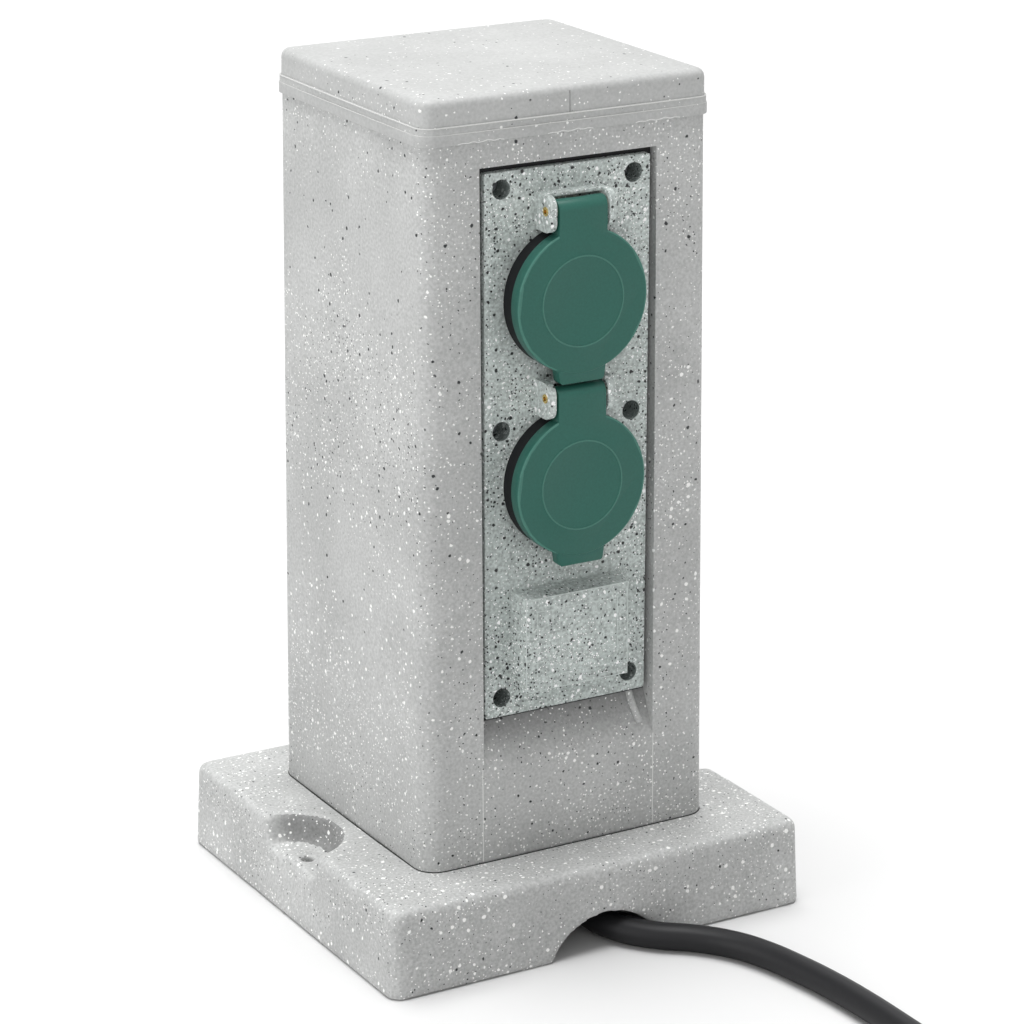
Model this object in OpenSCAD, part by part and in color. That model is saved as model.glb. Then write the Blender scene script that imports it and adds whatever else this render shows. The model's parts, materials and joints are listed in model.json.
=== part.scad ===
// Garden socket pillar: a hollow column with a cap on a screw-down base, two earthed
// sockets with sprung hinged lids, and a mains lead that leaves through an arch in the base.
// Millimetres. Origin: middle of the base's underside, +Z up, sockets facing -Y.

/* [Base] */
// Width of the base along X
base_w = 172.5; // [168:0.5:190]
// Depth of the base along Y
base_d = 165; // [160:0.5:180]
// Height of the base
base_h = 33; // [32:1:40]
// How far each side of the base leans in over its height
base_draft = 1.5; // [0.5:0.1:2]
// Radius of the base's upright corners
base_corner_r = 6; // [5:0.5:12]
// Radius of the base's top edge
base_edge_r = 3; // [2:0.5:5]
// Thickness of the base's side walls
base_wall = 5; // [4:0.5:6]
// Thickness of the base's top
base_top_t = 5; // [4:0.5:6]
// Distance from the base's side to the middle of a ground-fixing hole
anchor_in = 8.75; // [8:0.25:10]
// Radius of a ground-fixing hole
anchor_hole_r = 2.5; // [2:0.1:3]
// Outer radius of the post round a ground-fixing hole
anchor_post_r = 6; // [5:0.5:7]
// Radius of a side scoop at the base's top face
scoop_r = 21; // [19:0.5:22]
// Radius of a side scoop at its floor
scoop_floor_r = 18; // [16:0.5:19]
// Depth of a side scoop below the base's top face
scoop_depth = 11; // [8:0.5:12]
// Depth of the flute that runs from a scoop down the base's side
flute_depth = 3.4; // [2.5:0.1:4]
// Width of the cable arch at the ground
arch_w = 45; // [40:1:50]
// Height of the cable arch
arch_h = 14.6; // [13:0.1:17]
// How far the cable arch sits right of the middle
arch_x = 1.5; // [0:0.5:3]

/* [Column] */
// Width of the column at its foot
col_w = 119; // [117:1:126]
// Depth of the column at its foot
col_d = 115; // [113:1:122]
// Height of the column from the base to the cap
col_h = 263; // [255:1:280]
// How far each side of the column leans in over its height
col_draft = 2.7; // [1.5:0.1:3]
// Radius of the column's upright edges
col_corner_r = 8.4; // [6:0.2:10]
// Thickness of the column's wall
col_wall = 3.5; // [3:0.1:4]
// Height of the locating rim that stands on the base inside the column
rim_h = 8; // [6:1:12]
// Gap between the locating rim and the column
rim_clear = 0.3; // [0.2:0.05:0.5]
// Radius of a fixing post in a corner of the column
post_r = 5; // [4.5:0.5:6]
// Height of a fixing post
post_h = 28; // [22:1:35]
// Distance from the column's inner wall to the middle of a fixing post
post_in = 8.5; // [8:0.5:10]
// Shank radius of the screws that hold the column
col_screw_r = 2; // [1.5:0.1:2.2]
// Length of the screws that hold the column
col_screw_l = 22; // [20:1:25]

/* [Cap] */
// Height of the cap above the column
cap_h = 15.8; // [14:0.2:20]
// How far the cap stands out past the column
cap_over = 0.1; // [0.1:0.1:0.8]
// Radius of the cap's upright corners
cap_corner_r = 5.2; // [4:0.2:8]
// How far each side of the cap leans in over its height
cap_draft = 0.2; // [0.1:0.1:0.6]
// Height of the proud band at the cap's foot
band_h = 6.4; // [5:0.1:8]
// How far the band stands out past the cap
band_proud = 0.9; // [0.7:0.1:1.6]
// Height of the band's upper step
band_step_h = 2.5; // [1.5:0.1:3]
// How far the band's upper step stands back
band_step = 0.3; // [0.2:0.1:0.4]
// Radius of the cap's top edge
cap_edge_r = 3; // [2:0.5:4]
// Thickness of the cap's walls and top
cap_wall = 3; // [2.5:0.1:3.5]
// Depth of the rim that plugs into the column
plug_in_h = 5; // [3:0.5:5]
// Thickness of the rim that plugs into the column
plug_in_t = 2; // [1.5:0.1:2.5]
// Width of a snap hook on the cap's rim
snap_w = 10; // [8:1:14]
// How far a snap hook stands out
snap_out = 1; // [0.6:0.1:1.4]
// Distance of a snap hook from the middle
snap_x = 35; // [30:1:40]

/* [Socket plate] */
// Width of the socket plate
plate_w = 66; // [64:0.5:68]
// Thickness of the socket plate
plate_t = 3; // [2.5:0.1:3.5]
// Radius of the socket plate's corners
plate_corner_r = 1; // [0.5:0.1:2]
// Distance from the top of the column down to the plate's top edge
plate_drop = 11.5; // [11:0.5:14]
// Distance from the column's foot front back to the plate's face
plate_set_back = 3.3; // [3:0.1:5]
// Gap between the plate and the sides of its recess
plate_side_gap = 2.2; // [1:0.1:3]
// Gap between the plate and the top of its recess
plate_top_gap = 2.3; // [1:0.1:3]
// Thickness of the gasket behind the plate
gasket_t = 1.5; // [1:0.1:2]
// Thickness of the recess's floor and walls
tray_t = 3; // [2.5:0.1:3.5]
// Height of the ramp under the plate
ramp_h = 17; // [14:0.5:20]
// Distance of the plate screws from the plate's sides
screw_in = 6.7; // [6.4:0.1:7.2]
// Distance of the outer plate screws from the plate's ends
screw_end = 6.6; // [6.4:0.1:7.5]
// Distance of the middle plate screws below the middle of the two sockets
mid_screw_drop = 12.6; // [12:0.1:14]
// Radius of the deep holes over the plate screws
well_r = 3.5; // [3.3:0.1:3.7]
// Depth of the deep holes over the plate screws
well_depth = 11; // [9:0.5:12]
// Wall of the tube round a deep hole
well_wall = 1.3; // [1.1:0.1:1.5]
// Shank radius of a plate screw
plate_screw_r = 1.75; // [1.5:0.05:1.9]
// Length of a plate screw under its head
plate_screw_l = 12; // [10:1:14]
// Width of the raised block where it meets the plate
block_w = 45; // [42:0.5:45]
// Height of the raised block where it meets the plate
block_h = 38; // [34:0.5:39]
// How far the raised block stands out
block_out = 8.2; // [6:0.2:9]
// How far each side of the raised block leans in
block_lean = 1.7; // [1:0.1:2.5]
// Height of the raised block's foot above the plate's foot
block_up = 8.8; // [8:0.1:9.5]
// Width of the shallow field on the raised block
field_w = 33; // [28:0.5:35]
// Height of the shallow field on the raised block
field_h = 24.6; // [20:0.2:27]
// Depth of the shallow field on the raised block
field_depth = 0.3; // [0.2:0.05:0.5]

/* [Sockets] */
// Distance between the two sockets
socket_pitch = 66.4; // [66:0.1:69]
// Distance from the plate's top edge down to the upper socket
socket_drop = 46.2; // [44:0.1:48]
// Distance from the lower socket down to the plate's foot
socket_foot = 85.4; // [84:0.1:88]
// Inner radius of a socket cup
cup_r = 19.6; // [19.3:0.1:19.8]
// Depth of a socket cup
cup_depth = 17.5; // [17:0.1:18]
// Wall of a socket cup
cup_wall = 1.6; // [1.4:0.1:1.8]
// Thickness of a socket cup's floor
cup_floor = 3; // [2.5:0.1:4]
// Outer radius of the black collar under a lid
collar_r = 25.5; // [25:0.1:25.7]
// Height of the black collar above the plate
collar_h = 5.7; // [5.2:0.1:6]
// Distance between the two contacts of a socket
contact_pitch = 19; // [19:0.1:19]
// Inner radius of a contact sleeve, sprung onto a pin of 4.8 mm
sleeve_bore_r = 2.45; // [2.42:0.01:2.5]
// Wall of a contact sleeve
sleeve_wall = 0.9; // [0.7:0.1:1.1]
// Thickness of the block that holds the contacts
carrier_t = 12; // [10:0.5:14]
// Width of an earth prong
prong_w = 5; // [4:0.5:6]
// Thickness of the sheet brass
brass_t = 1; // [0.8:0.1:1.1]

/* [Lids] */
// Radius of a lid
lid_r = 25.8; // [25.6:0.1:26.2]
// Thickness of a lid at its rim
lid_t = 4.9; // [4.6:0.1:5.4]
// Thickness of a lid's front wall
lid_front_t = 2.2; // [1.8:0.1:2.6]
// Radius of a lid's front edge
lid_edge_r = 0.7; // [0.5:0.1:1.4]
// Gap between a closed lid and its collar
lid_gap = 0.2; // [0.15:0.05:0.3]
// Width of a lid's hinge tab and finger tab
tab_w = 19; // [18.6:0.2:20]
// Distance from a lid's middle up to its hinge pin
pin_up = 32.3; // [31.8:0.1:32.8]
// Distance from a lid's middle down to the end of its finger tab
finger_reach = 29; // [27.5:0.1:29.4]
// How far each side of the finger tab leans in
finger_lean = 0.7; // [0.4:0.1:1.2]
// Radius of a hinge barrel
barrel_r = 3.8; // [3.6:0.1:4]
// Radius of a hinge pin
pin_r = 1.6; // [1.4:0.05:1.7]
// Radius of the hollow in a hinge pin's ends
pin_bore_r = 0.8; // [0.5:0.1:1]
// Running gap between a hinge pin and its lid
pin_run = 0.06; // [0.04:0.01:0.08]
// Radius of the thin ring on a lid's face
face_ring_r = 15.8; // [14:0.1:17]
// Height of the thin ring on a lid's face
face_ring_h = 0.25; // [0.2:0.05:0.4]
// Thickness of a hinge ear
ear_t = 2.4; // [2:0.1:2.6]
// Gap between a hinge ear and the tab
ear_gap = 1; // [0.6:0.1:1.2]
// How far a hinge ear stands out
ear_out = 10.8; // [10.4:0.1:11.2]
// Thickness of the bridge over a hinge barrel
bridge_t = 1.2; // [1:0.1:1.6]
// How far the bridge over a hinge barrel stands out
bridge_out = 5; // [4.5:0.1:5.2]
// Wire thickness of a lid spring
spring_wire = 0.6; // [0.5:0.05:0.65]
// Turns of a lid spring
spring_turns = 5; // [4:1:5]
// Distance between two turns of a lid spring
spring_step = 1.1; // [1.1:0.05:1.2]

/* [Back box and cable entry] */
// Half width of the back box
box_half_w = 22.8; // [22.8:0.1:23]
// Wall of the back box
box_wall = 1.4; // [1.4:0.1:1.5]
// Thickness of the back box's ends and rear
box_end_t = 2; // [2:0.1:2.5]
// Depth of the back box behind the plate
box_depth = 39; // [38:0.5:42]
// Distance from the lower socket down to the back box's foot
box_foot = 61.9; // [60:0.1:63]
// Distance from the plate's top edge down to the back box's top
box_drop = 13.5; // [13:0.5:14]
// Distance of the back box's screws from the middle
box_screw_x = 16.5; // [16:0.1:16.8]
// Distance from a socket's middle to the nearest screws of the back box
box_screw_up = 25.5; // [25:0.1:26]
// Shank radius of a back box screw
box_screw_r = 1.5; // [1.3:0.1:1.6]
// Length of a back box screw
box_screw_l = 14; // [10:1:18]
// Head radius of a back box screw
box_head_r = 2.8; // [2.4:0.1:3.2]
// Distance from the plate's face to the middle of the cable gland
gland_in = 23.2; // [22:0.2:24]
// Thread radius of the cable gland
gland_r = 10; // [9:0.5:10.5]
// Height of the gland's six-sided flange
gland_flange_h = 6; // [5:0.5:7]
// Height of the gland's cap
gland_cap_h = 12; // [10:0.5:14]
// Length of the tapered bend relief under the gland
relief_l = 26; // [24:1:30]
// Width of the terminal block
terminal_w = 30; // [28:1:32]
// Depth of the terminal block
terminal_d = 14; // [12:1:15]
// Height of the terminal block
terminal_h = 14; // [13:0.5:15]
// Height of the terminal block above the back box's foot
terminal_up = 15; // [14.5:0.5:16]

/* [Mains lead] */
// Diameter of the lead
cord_d = 10; // [8:0.1:10]
// Turns of the put-away coil
coil_turns = 3.25; // [2.25:1:5.25]
// Radius of the coil's outermost turn
coil_r = 67; // [60:0.5:70]
// Distance between two turns of the coil
coil_step = 10.8; // [10.6:0.1:11.5]
// Radius of the plug's front
plug_r = 18.5; // [18:0.1:19]
// Length of the plug's body
plug_l = 42; // [38:1:48]
// Length of the plug's grip behind its front
plug_grip_l = 16; // [14:1:20]
// Length of the plug's neck next to its bend relief
plug_neck_l = 6; // [5:0.5:8]
// Radius of the plug's neck at its bend relief
plug_neck_r = 11.5; // [10:0.5:12.5]
// Radius where the plug's neck meets its grip
plug_waist_r = 13; // [12:0.5:15]
// Length of the plug's bend relief
plug_relief_l = 26; // [22:1:30]
// Length of the plug's pins
plug_pin_l = 19; // [19:0.1:19]
// Radius of the plug's pins
plug_pin_r = 2.4; // [2.4:0.01:2.4]
// Length of the plug's earth contacts
plug_earth_l = 17; // [15:0.5:18]
// Width of the plug's earth contacts
plug_earth_w = 6; // [5:0.5:6.4]
// Depth of the slots for the plug's earth contacts
plug_slot_depth = 2; // [1.5:0.1:2.5]

/* [Hidden] */
$fn = 48;

// Colours as the object shows them
granite_grey = "#a3a4a3";
plate_grey = "#9aa6a1";
lid_green = "#40665c";
rubber_black = "#2e2e30";
brass = "#c9a348";
steel = "#b9bcc0";
inner_white = "#dcdcd4";

// Small sizes shared by several pieces
slice = 0.01;
past = 1;
edge_steps = 4;
curve_fn = 32;
fit_gap = 0.3;
hole_gap = 0.05;
head_t = 2.2;
foot_up = 1.5;

// Levels
col_top = base_h + col_h;
cap_top = col_top + cap_h;
plate_top = col_top - plate_drop;
upper_z = plate_top - socket_drop;
lower_z = upper_z - socket_pitch;
plate_bottom = lower_z - socket_foot;
plate_h = plate_top - plate_bottom;
upper_pin_z = upper_z + pin_up;

// Planes along Y, front to back
plate_face = -(col_d / 2 - plate_set_back);
plate_back = plate_face + plate_t;
tray_face = plate_back + gasket_t;
tray_back = tray_face + tray_t;
collar_face = plate_face - collar_h;
lid_back = collar_face - lid_gap;
lid_face = lid_back - lid_t;
pin_y = lid_face + barrel_r;
cup_bottom = collar_face + cup_depth;
cup_back = cup_bottom + cup_floor;
carrier_back = cup_back + carrier_t;
box_back = plate_back + box_depth;

// Recess and window for the socket plate
recess_half_w = plate_w / 2 + plate_side_gap;
recess_top = plate_top + plate_top_gap;
ramp_top = plate_bottom - 0.5;
window_gap = fit_gap;
box_bottom = lower_z - box_foot;
box_top = plate_top - box_drop;
box_screw_zs = [lower_z - box_screw_up, upper_z + box_screw_up];
box_post_r = box_screw_r + 1.9;
well_out_r = well_r + well_wall;
well_floor = plate_face + well_depth;
well_seat = well_floor + 2;
lug_r = well_out_r + 1.3;
tower_end = well_floor + plate_screw_l + 1.5;
screw_x = plate_w / 2 - screw_in;
mid_screw_z = (upper_z + lower_z) / 2 - mid_screw_drop;
screw_zs = [plate_bottom + screw_end + 0.5, mid_screw_z, plate_top - screw_end + 0.5];
cup_out_r = cup_r + cup_wall;
tab_half = tab_w / 2;
ear_in = tab_half + ear_gap;
ear_outer = ear_in + ear_t;
ear_down = 7.5;
ear_round = 4;
bridge_gap = 0.5;
bridge_z = upper_pin_z + barrel_r + bridge_gap;

// Contacts
contact_x = contact_pitch / 2;
sleeve_r = sleeve_bore_r + sleeve_wall;
pin_hole_r = sleeve_bore_r + 0.2;
prong_z = cup_r - 1.5;
rail_w = 6;
rail_low = lower_z - cup_out_r - 3;
sleeve_l = carrier_t - 0.5;
earth_depth = brass_t + hole_gap;

// Cable entry
gland_y = plate_face + gland_in;
gland_flat_r = 13.5;
gland_wall_gap = 0.1;
relief_top = box_bottom - gland_flange_h - gland_cap_h;
cord_r = cord_d / 2;
cord_exit_z = relief_top - relief_l;
tail_top = box_bottom + 9;
nut_h = 5;

// Terminals behind the raised block
terminal_z = box_bottom + terminal_up;
terminal_y = gland_y - 2;
terminal_xs = [-contact_x, 0, contact_x];
wire_r = 1.25;
core_x = 2.8;

// Fixings between base and column
post_x = col_w / 2 - col_wall - post_in;
post_y = col_d / 2 - col_wall - post_in;
cord_port_r = 17;
scoop_floor_z = base_h - scoop_depth;
scoop_x = base_w / 2;
scoop_wall = 4;
anchor_x = base_w / 2 - anchor_in;
arch_r = (arch_w * arch_w / 4 + arch_h * arch_h) / (2 * arch_h);

// Route of the lead from its bend relief to the coil, on the ground from the seventh point
cord_points = [
    [0, gland_y, cord_exit_z], [0, gland_y, cord_exit_z - cord_d],
    [0, gland_y, cord_exit_z - 2 * cord_d], [-0.5, -35, 31], [0, -46, 17], [3, -61, 8],
    [8, -76, 5], [17, -88.5, 5], [29, -98.5, 5], [38, -110, 5], [43.5, -123, 5],
    [47, -138, 5], [49.5, -154, 5], [51, -172, 5], [51.5, -193, 5], [51.5, -215, 5],
    [51.5, -238, 5], [51.5, -260, 5]];
cord_end = cord_points[len(cord_points) - 1];
cord_sides = 10;

// Coil: the lead runs in clockwise, climbs one layer and runs out again on top
coil_sides = 6;
coil_rings = 24;
coil_x = cord_end.x - coil_r;
coil_y = cord_end.y - cord_d;
coil_in_r = coil_r - coil_step * coil_turns / 2;
plug_x = coil_x - cord_d;
plug_y = coil_y - coil_r;
plug_rise = plug_r - cord_r - coil_step;

function unit(v) = v / norm(v);
function ease(t) = t <= 0 ? 0 : t >= 1 ? 1 : t * t * (3 - 2 * t);
function col_half_w(z) = col_w / 2 - col_draft * (z - base_h) / col_h;
function col_half_d(z) = col_d / 2 - col_draft * (z - base_h) / col_h;

// Point of the coil after t turns
function coil_point(t) =
    let (r = coil_in_r + coil_step * abs(t - coil_turns / 2),
         climb = ease((t - coil_turns / 2 + 0.25) / 0.5),
         rise = ease((t - coil_turns + 0.25) / 0.25))
    [coil_x + r * cos(360 * t), coil_y - r * sin(360 * t),
     cord_r + coil_step * climb + plug_rise * rise];

coil_steps = round(coil_turns * coil_rings);
coil_path = concat(
    [cord_end],
    [for (i = [0 : coil_steps]) coil_point(i / coil_rings)],
    [[plug_x, plug_y, plug_r]]);

// Shortest distance from point p to the stretch from a to b
function stretch_gap(p, a, b) =
    let (d = b - a, t = min(1, max(0, (p - a) * d / (d * d))))
    norm(p - a - t * d);

// Least gap of a wound tube to itself, on points at least half a turn apart
function least_gap(path, width, apart) = min([
    for (i = [0 : len(path) - 1], j = [i + apart : 1 : len(path) - 2])
        stretch_gap(path[i], path[j], path[j + 1])]) - width;

echo(coil_gap = least_gap(coil_path, cord_d, coil_rings / 2));

// Spring of the upper lid: turns round the pin, then a leg straight back to the plate
spring_rings = 12;
spring_r = pin_r + 0.3 + spring_wire / 2;
spring_half = spring_turns * spring_step / 2;
function spring_point(t) =
    [spring_step * t - spring_half, pin_y - spring_r * sin(360 * t),
     upper_pin_z - spring_r * cos(360 * t)];
spring_path = concat(
    [[-spring_half, plate_face - 2 * hole_gap, upper_pin_z - spring_r]],
    [for (i = [0 : spring_turns * spring_rings]) spring_point(i / spring_rings)],
    [[spring_half, pin_y - spring_wire, upper_pin_z - spring_r]]);

echo(spring_gap = least_gap(spring_path, spring_wire, spring_rings / 2));

// A rounded rectangle in the middle of its plane
module rounded_rect(w, d, r) {
    square([w - 2 * r, d], center = true);
    square([w, d - 2 * r], center = true);
    for (x = [-1, 1], y = [-1, 1])
        translate([x * (w / 2 - r), y * (d / 2 - r)]) circle(r);
}

// A block with rounded upright edges that leans in by lean a side, and a rounded top edge
module drafted_block(w, d, h, r, lean, edge) {
    hull() {
        linear_extrude(slice) rounded_rect(w, d, r, $fn = curve_fn);
        for (i = [0 : edge > 0 ? edge_steps : 0]) {
            a = edge > 0 ? 90 * i / edge_steps : 90;
            inset = lean * (h - edge + edge * sin(a)) / h + edge * (1 - cos(a));
            translate([0, 0, h - edge + edge * sin(a) - slice])
                linear_extrude(slice)
                    rounded_rect(w - 2 * inset, d - 2 * inset, max(r - inset, 1), $fn = curve_fn);
        }
    }
}

// A cylinder that starts at a point and runs along +Y
module back_cylinder(x, y, z, r, l) {
    translate([x, y, z]) rotate([-90, 0, 0]) cylinder(r = r, h = l);
}

// A tube of round section through a list of points
module tube(path, r, sides) {
    last = len(path) - 1;
    along = [for (i = [0 : last])
        unit(unit(path[min(i + 1, last)] - path[min(i, last - 1)])
            + unit(path[max(i, 1)] - path[max(i - 1, 0)]))];
    first = unit(cross(along[0], abs(along[0].x) < 0.9 ? [1, 0, 0] : [0, 1, 0]));
    side = [for (i = 0, s = first; i <= last;
        i = i + 1, s = i <= last ? unit(s - (s * along[i]) * along[i]) : s) s];
    points = [for (i = [0 : last], k = [0 : sides - 1])
        path[i] + r * (cos(360 * k / sides) * side[i]
            + sin(360 * k / sides) * cross(along[i], side[i]))];
    walls = [for (i = [0 : last - 1], k = [0 : sides - 1], half = [0, 1])
        let (a = i * sides + k, b = i * sides + (k + 1) % sides)
        half == 0 ? [a, a + sides, b] : [b, a + sides, b + sides]];
    near_end = [for (k = [1 : sides - 2]) [0, k, k + 1]];
    far_end = [for (k = [1 : sides - 2]) [last * sides, last * sides + k + 1, last * sides + k]];
    polyhedron(points, concat(walls, near_end, far_end));
}

// The base: a hollow tray with scooped sides and a cable arch
module base_plate() {
    color(granite_grey) difference() {
        union() {
            drafted_block(base_w, base_d, base_h, base_corner_r, base_draft, base_edge_r);
            base_rim();
        }
        difference() {
            translate([0, 0, -past])
                drafted_block(base_w - 2 * base_wall, base_d - 2 * base_wall,
                    base_h - base_top_t + past, base_corner_r / 2, base_draft, 0);
            for (side = [-1, 1]) scoop_pod(side);
        }
        for (side = [-1, 1]) scoop_cut(side);
        translate([arch_x, 0, arch_h - arch_r]) rotate([90, 0, 0])
            translate([0, 0, base_d / 2 - base_wall - past - base_draft])
                cylinder(r = arch_r, h = base_wall + 3 * past + base_draft);
        translate([0, gland_y, base_h - base_top_t - past])
            cylinder(r = cord_port_r, h = base_top_t + rim_h + 2 * past);
        for (x = [-1, 1], y = [-1, 1])
            translate([x * post_x, y * post_y, base_h - base_top_t - past])
                cylinder(r = col_screw_r + fit_gap, h = base_top_t + rim_h + 2 * past);
    }
}

// The rim on the base's top that the column slips over
module base_rim() {
    half_gap = col_wall + col_draft * rim_h / col_h + rim_clear;
    w = col_w - 2 * half_gap;
    d = col_d - 2 * half_gap;
    translate([0, 0, base_h - slice]) difference() {
        linear_extrude(rim_h) rounded_rect(w, d, col_corner_r - col_wall);
        translate([0, 0, -past]) linear_extrude(rim_h + 2 * past)
            rounded_rect(w - 4 * base_wall, d - 4 * base_wall, col_corner_r);
        for (x = [-1, 1], y = [-1, 1])
            translate([x * post_x, y * post_y, slice])
                cylinder(r = post_r + 2 * rim_clear, h = rim_h + past);
    }
}

// Solid ground under a scoop, with the post round the fixing hole
module scoop_pod(side) {
    translate([side * scoop_x, 0, scoop_floor_z - base_top_t])
        cylinder(r = scoop_r + scoop_wall, h = base_h);
    translate([side * anchor_x, 0, -2 * past]) cylinder(r = anchor_post_r, h = base_h);
}

// What a scoop, its flute and its fixing hole take away
module scoop_cut(side) {
    translate([side * scoop_x, 0, scoop_floor_z]) {
        cylinder(r1 = scoop_floor_r, r2 = scoop_r, h = scoop_depth);
        translate([0, 0, scoop_depth - slice]) cylinder(r = scoop_r, h = rim_h);
    }
    flute_half = sqrt(scoop_floor_r * scoop_floor_r - flute_depth * flute_depth);
    flute_r = (flute_half * flute_half + flute_depth * flute_depth) / (2 * flute_depth);
    lean = atan(flute_depth / (scoop_floor_z - foot_up));
    translate([side * (base_w / 2 - base_draft * foot_up / base_h), 0, foot_up])
        rotate([0, -side * lean, 0])
            translate([side * flute_r, 0, 0]) cylinder(r = flute_r, h = base_h + rim_h, $fn = 96);
    translate([side * anchor_x, 0, -past])
        cylinder(r = anchor_hole_r, h = scoop_floor_z + 2 * past);
}

// The column, with a recess and a window for the socket plate
module column_shell() {
    color(granite_grey) difference() {
        translate([0, 0, base_h])
            drafted_block(col_w, col_d, col_h, col_corner_r, col_draft, 0);
        difference() {
            translate([0, 0, base_h - slice])
                drafted_block(col_w - 2 * col_wall, col_d - 2 * col_wall, col_h + 2 * slice,
                    col_corner_r - col_wall, col_draft, 0);
            plate_tray();
            column_posts();
        }
        recess_cut();
        window_cut();
        for (x = [-1, 1], y = [-1, 1])
            translate([x * post_x, y * post_y, base_h - past])
                cylinder(r = col_screw_r + hole_gap, h = post_h - 3 + past);
        for (x = [-1, 1]) snap_slot(x);
    }
}

// Solid that backs the recess, before the recess is cut from it
module plate_tray() {
    low = ramp_top - ramp_h;
    front = -col_half_d(low);
    rotate([90, 0, 90]) translate([0, 0, -recess_half_w - tray_t])
        linear_extrude(2 * (recess_half_w + tray_t))
            polygon([
                [front, recess_top + tray_t], [tray_back, recess_top + tray_t],
                [tray_back, ramp_top], [front + tray_t, low], [front, low]]);
    for (x = [-1, 1], z = screw_zs)
        back_cylinder(x * screw_x, tray_back - past, z, lug_r, tower_end - tray_back + past);
}

// Posts that take the screws from the base
module column_posts() {
    for (x = [-1, 1], y = [-1, 1]) {
        translate([x * post_x, y * post_y, base_h - slice]) cylinder(r = post_r, h = post_h);
        translate([x * (post_x + post_in / 2) - post_in / 2, y * post_y - 1, base_h + rim_h + past])
            cube([post_in, 2, post_h - rim_h - past]);
    }
}

// The recess in front of the plate, with the ramp at its foot
module recess_cut() {
    low = ramp_top - ramp_h;
    front = -col_half_d(low);
    run = (tray_face - front) / ramp_h;
    out = 5;
    rotate([90, 0, 90]) translate([0, 0, -recess_half_w])
        linear_extrude(2 * recess_half_w)
            polygon([
                [front - out, recess_top], [tray_face, recess_top],
                [tray_face, ramp_top], [front - out, low - out / run]]);
}

// The window behind the plate, with lugs left for the middle screws
module window_cut() {
    half = box_half_w + window_gap;
    difference() {
        translate([-half, tray_face - past, box_bottom - window_gap])
            cube([2 * half, tray_t + 2 * past, box_top - box_bottom + 2 * window_gap]);
        for (x = [-1, 1])
            back_cylinder(x * screw_x, tray_face - 2 * past, screw_zs[1], lug_r, tray_t + 4 * past);
    }
    for (x = [-1, 1], z = screw_zs) {
        back_cylinder(x * screw_x, tray_face - past, z, well_out_r + fit_gap,
            well_seat - tray_face + past);
        back_cylinder(x * screw_x, tray_face, z, plate_screw_r + hole_gap,
            well_floor + plate_screw_l - tray_face);
    }
}

// Slot in the column's front and back for a snap hook of the cap
module snap_slot(x) {
    z = col_top - plug_in_h + 1;
    for (y = [-1, 1])
        translate([x * snap_x - snap_w / 2 - fit_gap, y * (col_half_d(z) - col_wall) - snap_out - fit_gap, z])
            cube([snap_w + 2 * fit_gap, 2 * (snap_out + fit_gap), 3 + fit_gap]);
}

// The cap: a low lid with a proud band and a rim that plugs into the column
module cap() {
    w = 2 * (col_half_w(col_top) + cap_over);
    d = 2 * (col_half_d(col_top) + cap_over);
    rim_out = col_wall + rim_clear;
    step_proud = band_proud - band_step;
    rim_w = 2 * (col_half_w(col_top) - rim_out);
    rim_d = 2 * (col_half_d(col_top) - rim_out);
    rim_r = (col_corner_r - col_draft) / 2;
    color(granite_grey) {
        difference() {
            union() {
                translate([0, 0, col_top]) drafted_block(w, d, cap_h, cap_corner_r, cap_draft, cap_edge_r);
                translate([0, 0, col_top]) linear_extrude(band_h - band_step_h)
                    rounded_rect(w + 2 * band_proud, d + 2 * band_proud, cap_corner_r + band_proud);
                translate([0, 0, col_top + past]) linear_extrude(band_h - past)
                    rounded_rect(w + 2 * step_proud, d + 2 * step_proud, cap_corner_r + step_proud);
                translate([0, 0, col_top - plug_in_h])
                    linear_extrude(plug_in_h + past) rounded_rect(rim_w, rim_d, rim_r);
            }
            translate([0, 0, col_top + plug_in_t])
                linear_extrude(cap_h - cap_wall - plug_in_t)
                    rounded_rect(w - 2 * cap_wall, d - 2 * cap_wall, cap_corner_r / 2);
            translate([0, 0, col_top - plug_in_h - past])
                linear_extrude(plug_in_h + plug_in_t + 2 * past)
                    rounded_rect(rim_w - 2 * plug_in_t, rim_d - 2 * plug_in_t, rim_r / 2);
        }
        for (x = [-1, 1], y = [-1, 1])
            translate([x * snap_x, y * (rim_d / 2 - plug_in_t / 2), col_top - plug_in_h + 1 + fit_gap])
                translate([-snap_w / 2, y > 0 ? 0 : -plug_in_t / 2 - snap_out, 0])
                    cube([snap_w, plug_in_t / 2 + snap_out, 3 - fit_gap]);
    }
}

// Screws from under the base into the column's posts
module column_screws() {
    color(steel) for (x = [-1, 1], y = [-1, 1])
        translate([x * post_x, y * post_y, base_h - base_top_t]) {
            cylinder(r = col_screw_r, h = col_screw_l);
            difference() {
                translate([0, 0, -head_t]) cylinder(r = 2 * col_screw_r, h = head_t);
                translate([0, 0, -head_t - slice]) cylinder(r = 1.5, h = 1.2, $fn = 6);
            }
        }
}

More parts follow.
